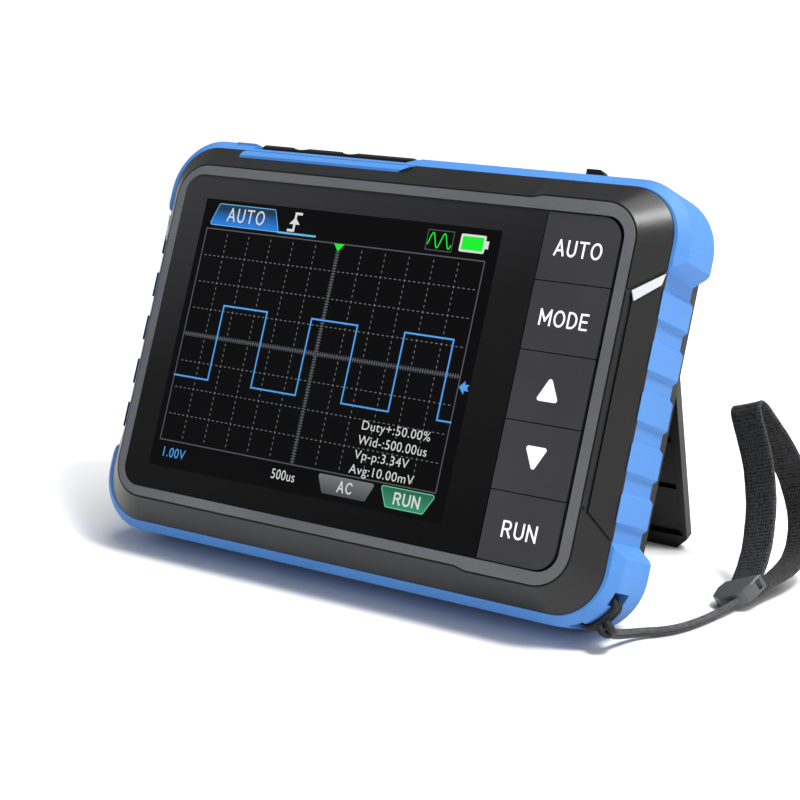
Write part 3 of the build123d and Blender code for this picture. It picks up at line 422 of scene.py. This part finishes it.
lines = []
for i in range(1, columns):
    x = grid_left + i * cell_w
    if i != columns // 2:
        lines += dashes((x, grid_bottom), (x, grid_top), cell_h / 5, 0.42, 0.13)
for i in range(1, rows):
    z = grid_bottom + i * cell_h
    if i != rows // 2:
        lines += dashes((grid_left, z), (grid_right, z), cell_w / 5, 0.42, 0.13)
printed("graticule", lines, 2, ink_grid)
axes = stroke([(middle_x, grid_bottom), (middle_x, grid_top)], 0.16)
axes += stroke([(grid_left, middle_z), (grid_right, middle_z)], 0.16)
for i in range(1, columns * 10):
    x = grid_left + i * cell_w / 10
    axes += stroke([(x, middle_z - 0.28), (x, middle_z + 0.28)], 0.2)
for i in range(1, rows * 10):
    z = grid_bottom + i * cell_h / 10
    axes += stroke([(middle_x - 0.28, z), (middle_x + 0.28, z)], 0.2)
printed("graticule_axes", axes, 3, ink_axis)
border = [(grid_left, grid_bottom), (grid_right, grid_bottom), (grid_right, grid_top), (grid_left, grid_top)]
printed("graticule_frame", stroke(border, 0.2, closed=True), 4, ink_frame)

# square wave, half high and half low
wave_low, wave_high, wave_rise, wave_half = -7.45, 5.2, 7.42, 8.97
wave = [(grid_left, wave_low)]
edge_x = wave_rise - 4 * wave_half
level = wave_low
while edge_x < grid_right:
    following = wave_high if level == wave_low else wave_low
    wave += [(edge_x, level), (edge_x, following)]
    level = following
    edge_x += wave_half
wave.append((grid_right, level))
printed("trace", stroke(wave, 0.27), 5, ink_blue)
printed("trigger_position", [[(-8.35, 16.6), (-7.35, 17.8), (-9.35, 17.8)]], 5, ink_green)
printed("trigger_level", [[(19.0, -1.85), (20.0, -2.95), (20.0, -2.35), (20.8, -2.35), (20.45, -1.85), (20.8, -1.35),
                           (20.0, -1.35), (20.0, -0.8)]], 5, ink_blue)

tab = [(-35.2, 18.55), (-20.8, 18.55), (-22.3, 22.2), (-33.9, 22.2)]
printed("mode_tab", [rounded_outline(tab, 0.35)], 2, ink_tab)
printed("mode_tab_edge", stroke(rounded_outline(tab, 0.35), 0.13, closed=True)
        + stroke([(-20.9, 18.55), (-13.4, 18.55)], 0.32), 3, ink_edge)
capitals("mode_tab_text", "AUTO", -28.0, 20.5, 7.7, 2.35, 0.26, 4, ink_white)
printed("edge_icon", stroke([(-19.0, 19.1), (-17.95, 19.1)], 0.42) + stroke([(-17.95, 19.1), (-17.95, 21.95)], 0.42)
        + stroke([(-17.95, 21.95), (-16.9, 21.95)], 0.42) + [[(-19.0, 20.15), (-16.9, 20.15), (-17.95, 21.3)]],
        3, ink_white)

sine_left, sine_right, sine_low, sine_high = 7.75, 12.5, 18.65, 21.85
box = [(sine_left, sine_low), (sine_right, sine_low), (sine_right, sine_high), (sine_left, sine_high)]
printed("sine_box", stroke(box, 0.14, closed=True), 2, ink_frame)
sine = [(sine_left + 0.25 + (sine_right - sine_left - 0.5) * i / 60,
         (sine_low + sine_high) / 2 + 1.15 * math.sin(math.tau * 2 * i / 60 - 0.6)) for i in range(61)]
printed("sine_icon", stroke(sine, 0.2), 3, ink_green)
cell = [(13.8, 18.95), (18.35, 18.95), (18.35, 21.8), (13.8, 21.8)]
knob = [(18.3, 19.75), (18.95, 19.75), (18.95, 21.0), (18.3, 21.0)]
printed("battery_icon_rim", [rounded_outline(cell, 0.3), knob], 2, ink_white)
printed("battery_icon_level", [[(14.15, 19.3), (18.0, 19.3), (18.0, 21.45), (14.15, 21.45)]], 3, ink_green)

tail = 0.42                  # how far y, p and g hang below their line
readout = (("Duty+:50.00%", 3.3, 15.95, tail), ("Wid-:500.00us", 3.1, 15.85, 0), ("Vp-p:3.34V", 3.0, 13.1, tail),
           ("Avg:10.00mV", 2.6, 14.6, tail))
for i, (words, left, right, hang) in enumerate(readout):
    lettering(f"readout_{i + 1}", words, (left + right) / 2, -10.2 - 2.35 * i - hang / 2, right - left, 1.5 + hang, 6,
              ink_white)

grey_tab = [(-1.6, -21.9), (6.6, -21.9), (7.9, -18.9), (-3.0, -18.9)]
run_tab = [(10.5, -22.0), (17.3, -22.0), (19.0, -18.85), (9.0, -18.85)]
printed("coupling_tab", [rounded_outline(grey_tab, 0.35)], 2, ink_grey)
capitals("coupling_text", "AC", 2.5, -20.4, 2.8, 1.85, 0.24, 3, ink_white)
printed("state_tab", [rounded_outline(run_tab, 0.35)], 2, ink_run)
printed("state_tab_edge", stroke(rounded_outline(run_tab, 0.35), 0.14, closed=True), 3, ink_run_edge)
capitals("state_text", "RUN", 14.1, -20.45, 4.8, 1.95, 0.30, 4, ink_white)
lettering("time_text", "500us", -9.5, -20.4, 4.6, 1.6, 3, ink_white)
lettering("volt_text", "1.00V", -32.0, -20.4, 4.6, 1.6, 3, ink_blue)


# ---- lanyard ------------------------------------------------------------------------
def spline_of(name, route, closed=False):
    """Points along the NURBS spline whose control points are the route's, in metres."""
    curve = bpy.data.curves.new(name, "CURVE")
    curve.dimensions, curve.resolution_u = "3D", 10
    spline = curve.splines.new("NURBS")
    spline.points.add(len(route) - 1)
    for point, place in zip(spline.points, route):
        point.co = (*place, 1)
    spline.order_u, spline.use_endpoint_u, spline.use_cyclic_u = 3, not closed, closed
    holder = bpy.data.objects.new(name, curve)
    mesh = bpy.data.meshes.new_from_object(holder)
    points = [v.co.copy() for v in mesh.vertices]
    bpy.data.objects.remove(holder)
    bpy.data.meshes.remove(mesh)
    bpy.data.curves.remove(curve)
    return points


def headings(points, closed=False):
    """The direction of travel at each point."""
    count = len(points)
    if closed:
        return [(points[(i + 1) % count] - points[i - 1]).normalized() for i in range(count)]
    return [(points[min(i + 1, count - 1)] - points[max(i - 1, 0)]).normalized() for i in range(count)]


def skin(name, rings, closed=False):
    """A mesh over rings of points, with U round a ring and V along, both in metres."""
    made = bmesh.new()
    uv = made.loops.layers.uv.new("UVMap")
    verts = [[made.verts.new(p) for p in ring] for ring in rings]
    size, count = len(rings[0]), len(rings)
    round_it = [0.0]
    for i in range(size):
        round_it.append(round_it[-1] + (rings[0][(i + 1) % size] - rings[0][i]).length)
    along = [0.0]
    for i in range(count):
        middle = [sum(rings[j % count], Vector()) / size for j in (i, i + 1)]
        along.append(along[-1] + (middle[1] - middle[0]).length)
    for i in range(count if closed else count - 1):
        for j in range(size):
            a, b = verts[i], verts[(i + 1) % count]
            face = made.faces.new([a[j], a[(j + 1) % size], b[(j + 1) % size], b[j]])
            face.smooth = True
            for loop, (u, v) in zip(face.loops, ((j, i), (j + 1, i), (j + 1, i + 1), (j, i + 1))):
                loop[uv].uv = (round_it[u], along[v])
    if not closed:
        made.faces.new(verts[0][::-1])
        made.faces.new(verts[-1])
    bmesh.ops.recalc_face_normals(made, faces=made.faces)
    mesh = bpy.data.meshes.new(name)
    made.to_mesh(mesh)
    made.free()
    return mesh


def round_section(points, radius, up, offset=(0.0, 0.0), closed=False, sides=14):
    """Rings of a round strand along points, set off sideways and upwards from them, in metres."""
    rings = []
    for point, heading in zip(points, headings(points, closed)):
        side = heading.cross(up).normalized()
        rise = side.cross(heading)
        centre = point + side * offset[0] + rise * offset[1]
        rings.append([centre + radius * (math.cos(a) * side + math.sin(a) * rise)
                      for a in (math.tau * k / sides for k in range(sides))])
    return rings


def joined(name, meshes, material):
    made = bmesh.new()
    for mesh in meshes:
        made.from_mesh(mesh)
        bpy.data.meshes.remove(mesh)
    mesh = bpy.data.meshes.new(name)
    made.to_mesh(mesh)
    made.free()
    return link(name, mesh, material)


cord_route = [
    (47.9, -22.5, 3.7), (48.1, -21.3, 2.9), (48.3, -19.3, 2.1), (48.7, -16.9, 1.5), (49.7, -14.2, 1.05),
    (51.8, -12.1, 0.95), (53.6, -9.2, 0.95), (54.8, -5.6, 0.97), (55.6, -2.2, 1.05), (56.3, 1.0, 1.25),
    (56.9, 3.6, 1.6), (57.15, 5.45, 2.0),
]
cord_line = spline_of("cord_line", [MM * Vector(p) for p in cord_route])
strand_r, strand_tilt = 0.46, math.radians(58)
strands = []
for s in (-1, 1):
    set_off = (s * strand_r * MM * math.cos(strand_tilt), s * strand_r * MM * math.sin(strand_tilt))
    strands.append(skin("strand", round_section(cord_line, strand_r * MM, Vector((0, 0, 1)), set_off)))
cord = joined("lanyard_strands", strands, braid)
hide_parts("lanyard_cord")

# the cord's bight, hitched round the bar across the bumper's lower right corner
bar_x, bar_z = 40.0, -24.65                # centre of the bumper's corner
inside_r, outside_r = 7.05, 10.15          # the hitch inside and outside the bar
turn_depths = (7.1, 8.5)
hitch_r = 0.5


def round_corner(r, degrees, depth):
    a = math.radians(degrees)
    return on_face(bar_x + r * math.cos(a), bar_z + r * math.sin(a), depth)


turns = []
for depth in turn_depths:
    ring = [round_corner(outside_r, a, depth) for a in (-27, -38, -50, -62)]
    ring += [round_corner(inside_r, a, depth) for a in (-67, -52, -38, -23)]
    line = spline_of("turn", ring, closed=True)
    turns.append(skin("turn", round_section(line, hitch_r * MM, DEPTH, closed=True), closed=True))
knot_r, knot_out, knot_cord_r = 1.0, 11.4, 0.52
knot_mid = sum(turn_depths) / 2
out_way = (round_corner(knot_out, -46, knot_mid) - round_corner(0, -46, knot_mid)).normalized()
knot_centre = round_corner(knot_out, -46, knot_mid)
around = out_way.cross(DEPTH).normalized()
for tilt, lift in ((14, -0.35), (-16, 0.45)):
    wide = Matrix.Rotation(math.radians(tilt), 3, out_way) @ DEPTH
    ring = [knot_centre + MM * (lift * around + knot_r * (math.cos(a) * out_way * 0.9 + math.sin(a) * wide * 1.35))
            for a in (math.tau * k / 8 for k in range(8))]
    line = spline_of("knot", ring, closed=True)
    turns.append(skin("knot", round_section(line, knot_cord_r * MM, around, closed=True), closed=True))
hitch = joined("lanyard_turns", turns, braid_painted_shade)
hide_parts("lanyard_hitch")

# the wrist loop: a flat band that stands on edge, run from the slider, over, and back to it
band_w, band_t = 6.2, 0.9
band_at = Vector((56.5, 8.9, 2.6))
band_tilt, band_turn = math.radians(20.5), math.radians(-15.3)
band_route = [
    (-2.4, -0.35), (0.2, 0.9), (3.2, 3.9), (5.9, 7.8), (8.0, 12.4), (9.2, 17.2), (9.4, 21.6), (9.2, 24.6),
    (9.2, 26.8), (10.2, 27.8), (11.6, 26.4), (13.7, 22.6), (16.0, 18.0), (17.3, 13.2), (17.3, 8.2),
    (15.6, 4.0), (12.2, 1.1), (8.0, -0.1), (4.2, -0.6), (1.2, -0.8), (-1.2, -1.25),
]
across = Vector((math.cos(band_tilt) * math.cos(band_turn), math.cos(band_tilt) * math.sin(band_turn),
                 math.sin(band_tilt)))
back = Vector((0, 0, 1)).cross(across).normalized()
rise = across.cross(back)
band_line = spline_of("band_line", [MM * (band_at + a * back + b * rise) for a, b in band_route])


# half of the band's section round its edge: across in half widths, and out in half thicknesses
SELVEDGE = [(-1.0, 0.0), (-0.975, 0.75), (-0.93, 1.0), (-0.6, 0.86), (0.0, 0.84), (0.6, 0.86), (0.93, 1.0),
            (0.975, 0.75)]
BAND_SECTION = SELVEDGE + [(-u, -w) for u, w in SELVEDGE]
PRESSED = 0.8                # the woven band is this much thinner than its CAD piece


def band_rings(points):
    """Rings of the webbing: a thin band with rounded selvedges and a slight cockle along it."""
    rings, run = [], 0.0
    half, thick = band_w / 2 * MM, band_t / 2 * MM * PRESSED
    for i, (point, heading) in enumerate(zip(points, headings(points))):
        run += (points[i] - points[i - 1]).length if i else 0.0
        out = heading.cross(across).normalized()
        cockle = 0.04 * MM * math.sin(run / MM * 0.9) + 0.02 * MM * math.sin(run / MM * 2.3 + 1.0)
        rings.append([point + across * (u * half) + out * (w * thick + cockle * u * u) for u, w in BAND_SECTION])
    return rings


band = joined("lanyard_webbing", [skin("band", band_rings(band_line))], webbing)
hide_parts("lanyard_strap")

# ---- floor and light ----------------------------------------------------------------
floor_mesh = bpy.data.meshes.new("floor")
reach = 12.0                 # metres from the middle to the floor's edges
FLOOR_GAP = 0.02             # the floor lies this far below the feet, in millimetres
floor_mesh.from_pydata([(-reach, -reach, 0), (reach, -reach, 0), (reach, reach, 0), (-reach, reach, 0)], [],
                       [(0, 1, 2, 3)])
floor = bpy.data.objects.new("floor", floor_mesh)
floor.location.z = -FLOOR_GAP * MM
bpy.context.scene.collection.objects.link(floor)
floor_mesh.materials.append(finish_of("floor_white", (0.93, 0.93, 0.93), 0.8, other=(0.95, 0.95, 0.95), grain=40.0,
                                      bump=0.0, patches=3.0, Specular_IOR_Level=0.1))

world = bpy.data.worlds.new("studio")
bpy.context.scene.world = world
world.use_nodes = True
world.node_tree.nodes["Background"].inputs["Color"].default_value = (0.98, 0.99, 1.0, 1)
world.node_tree.nodes["Background"].inputs["Strength"].default_value = 0.30


def sun(name, towards, power, spread, colour=(1, 1, 1)):
    """A soft, even light from the direction towards, with its apparent width in degrees."""
    data = bpy.data.lights.new(name, "SUN")
    data.energy, data.angle, data.color = power, math.radians(spread), colour
    lamp = bpy.data.objects.new(name, data)
    bpy.context.scene.collection.objects.link(lamp)
    lamp.rotation_euler = Vector(towards).to_track_quat("Z", "Y").to_euler()
    return lamp


def softbox(name, towards, distance, size, power, aim, colour=(1, 1, 1)):
    """A square area light at a distance, in metres, from the point it is aimed at."""
    data = bpy.data.lights.new(name, "AREA")
    data.energy, data.size, data.color = power, size, colour
    lamp = bpy.data.objects.new(name, data)
    bpy.context.scene.collection.objects.link(lamp)
    way = Vector(towards).normalized()
    lamp.location = Vector(aim) + distance * way
    lamp.rotation_euler = way.to_track_quat("Z", "Y").to_euler()
    return lamp


middle_of = (Vector(cad_box[0]) + Vector(cad_box[1])) / 2
sun("overhead", (0.30, 0.20, 0.93), 2.55, 55)
sun("right_fill", (1.0, -0.25, 0.35), 0.5, 50)
softbox("corner_highlight", (0.48, -0.06, 0.87), 0.6, 0.12, 2.8, middle_of)
